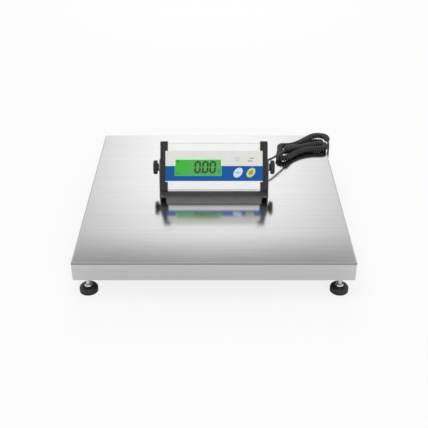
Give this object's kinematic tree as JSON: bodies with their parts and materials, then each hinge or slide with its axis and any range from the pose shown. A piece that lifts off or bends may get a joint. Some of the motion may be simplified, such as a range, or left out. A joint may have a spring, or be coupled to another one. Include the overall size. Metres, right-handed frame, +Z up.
{
  "type": "platform scale",
  "caption": "Bench platform scale with a square stainless pan on levelling feet, and a tilting display with keys in a bracket on the pan, joined by a coiled cable.",
  "frame": {"origin": "on the floor, under the centre of the platform", "axes": "+Z up, -Y towards the person who reads the display, +X to their right"},
  "size_m": [0.5113, 0.5, 0.1754],
  "materials": {
    "brushed_pan": "fine brushed",
    "frame_steel": "satin paint",
    "cell_alloy": "machined",
    "bright_zinc": "bright",
    "foot_black": "moulded",
    "rubber_black": "matt",
    "box_grey": "moulded",
    "board_green": "solder mask",
    "gland_black": "moulded",
    "lead_grey": "sheath",
    "cord_black": "satin sheath",
    "bracket_black": "fine powder coat",
    "shell_white": "satin",
    "cap_black": "fine spark texture",
    "label_print": "printed film",
    "window_clear": "clear",
    "lcd_green": "polariser",
    "light_white": "diffuser",
    "key_white": "satin",
    "key_yellow": "satin",
    "dome_steel": "bright",
    "holder_black": "moulded",
    "battery_skin": "satin wrap",
    "port_metal": "plated",
    "jack_black": "moulded",
    "knob_black": "moulded"
  },
  "bodies": {
    "platform": {"pan": "brushed_pan", "front_channel": "frame_steel", "rear_channel": "frame_steel", "side_member_left": "frame_steel", "side_member_right": "frame_steel", "cross_members": "frame_steel", "load_cell_front_left": "cell_alloy", "load_cell_front_right": "cell_alloy", "load_cell_rear_left": "cell_alloy", "load_cell_rear_right": "cell_alloy", "cell_spacers": "cell_alloy", "cell_bolts": "bright_zinc", "lock_nuts": "bright_zinc", "pan_studs": "bright_zinc", "pan_nuts": "bright_zinc", "lid_screws": "bright_zinc", "box_screws": "bright_zinc", "pan_rubbers": "rubber_black", "summing_box": "box_grey", "summing_box_lid": "box_grey", "summing_board": "board_green", "box_gland": "gland_black", "cell_leads": "lead_grey", "cord_lead": "cord_black", "cord_coil": "cord_black", "cord_tail": "cord_black", "bracket": "bracket_black"},
    "indicator": {"front_shell": "shell_white", "rear_shell": "shell_white", "end_cap_left": "cap_black", "end_cap_right": "cap_black", "cap_screws": "bright_zinc", "label": "label_print", "lcd_window": "window_clear", "lcd_glass": "lcd_green", "backlight": "light_white", "main_board": "board_green", "key_domes": "dome_steel", "battery_holder": "holder_black", "battery_cells": "battery_skin", "serial_connector": "port_metal", "power_jack": "jack_black", "cord_gland": "gland_black"},
    "zero_key": {"zero_key": "key_white"},
    "unit_key": {"unit_key": "key_yellow"},
    "battery_door": {"battery_door": "shell_white"},
    "washer_left": {"washer_left": "dome_steel"},
    "knob_left": {"knob_left": "knob_black"},
    "washer_right": {"washer_right": "dome_steel"},
    "knob_right": {"knob_right": "knob_black"},
    "pad_front_left": {"foot_pad_front_left": "foot_black"},
    "stud_front_left": {"foot_stud_front_left": "bright_zinc"},
    "pad_front_right": {"foot_pad_front_right": "foot_black"},
    "stud_front_right": {"foot_stud_front_right": "bright_zinc"},
    "pad_rear_left": {"foot_pad_rear_left": "foot_black"},
    "stud_rear_left": {"foot_stud_rear_left": "bright_zinc"},
    "pad_rear_right": {"foot_pad_rear_right": "foot_black"},
    "stud_rear_right": {"foot_stud_rear_right": "bright_zinc"}
  },
  "joints": [
    {"name": "tilt", "type": "hinge", "parent": "platform", "child": "indicator", "pos_m": [0, 0.00955, 0.12503], "axis": [1, 0, 0], "range_deg": [-50, 15], "deforming": ["cord_lead"]},
    {"name": "zero_key_press", "type": "slide", "parent": "indicator", "child": "zero_key", "axis": [0, 0.8251, -0.565], "range_m": [0, 0.0004], "stiffness_N_per_m": 1000},
    {"name": "unit_key_press", "type": "slide", "parent": "indicator", "child": "unit_key", "axis": [0, 0.8251, -0.565], "range_m": [0, 0.0004], "stiffness_N_per_m": 1000},
    {"name": "battery_door_off", "type": "slide", "parent": "indicator", "child": "battery_door", "axis": [0, 0.8251, -0.565], "range_m": [0, 0.012]},
    {"name": "washer_left_slide", "type": "slide", "parent": "indicator", "child": "washer_left", "axis": [-1, 0, 0], "range_m": [0, 0.002]},
    {"name": "knob_left_turn", "type": "hinge", "parent": "washer_left", "child": "knob_left", "pos_m": [0, 0.00955, 0.12503], "axis": [-1, 0, 0], "range_deg": [0, 720]},
    {"name": "washer_right_slide", "type": "slide", "parent": "indicator", "child": "washer_right", "axis": [1, 0, 0], "range_m": [0, 0.002]},
    {"name": "knob_right_turn", "type": "hinge", "parent": "washer_right", "child": "knob_right", "pos_m": [0, 0.00955, 0.12503], "axis": [1, 0, 0], "range_deg": [0, 720]},
    {"name": "pad_front_left_level", "type": "slide", "parent": "platform", "child": "pad_front_left", "axis": [0, 0, -1], "range_m": [-0.0021, 0.0061]},
    {"name": "stud_front_left_turn", "type": "hinge", "parent": "pad_front_left", "child": "stud_front_left", "pos_m": [-0.227, -0.227, 0.02], "axis": [0, 0, -1], "range_deg": [-576, 1728]},
    {"name": "pad_front_right_level", "type": "slide", "parent": "platform", "child": "pad_front_right", "axis": [0, 0, -1], "range_m": [-0.0021, 0.0061]},
    {"name": "stud_front_right_turn", "type": "hinge", "parent": "pad_front_right", "child": "stud_front_right", "pos_m": [0.227, -0.227, 0.02], "axis": [0, 0, -1], "range_deg": [-576, 1728]},
    {"name": "pad_rear_left_level", "type": "slide", "parent": "platform", "child": "pad_rear_left", "axis": [0, 0, -1], "range_m": [-0.0021, 0.0061]},
    {"name": "stud_rear_left_turn", "type": "hinge", "parent": "pad_rear_left", "child": "stud_rear_left", "pos_m": [-0.227, 0.227, 0.02], "axis": [0, 0, -1], "range_deg": [-576, 1728]},
    {"name": "pad_rear_right_level", "type": "slide", "parent": "platform", "child": "pad_rear_right", "axis": [0, 0, -1], "range_m": [-0.0021, 0.0061]},
    {"name": "stud_rear_right_turn", "type": "hinge", "parent": "pad_rear_right", "child": "stud_rear_right", "pos_m": [0.227, 0.227, 0.02], "axis": [0, 0, -1], "range_deg": [-576, 1728]}
  ],
  "couplings": [
    {"joint": "washer_left_slide", "follows": "knob_left_turn", "m_per_rad": 0.00015915},
    {"joint": "washer_right_slide", "follows": "knob_right_turn", "m_per_rad": 0.00015915},
    {"joint": "pad_front_left_level", "follows": "stud_front_left_turn", "m_per_rad": 0.00019894},
    {"joint": "pad_front_right_level", "follows": "stud_front_right_turn", "m_per_rad": 0.00019894},
    {"joint": "pad_rear_left_level", "follows": "stud_rear_left_turn", "m_per_rad": 0.00019894},
    {"joint": "pad_rear_right_level", "follows": "stud_rear_right_turn", "m_per_rad": 0.00019894}
  ]
}
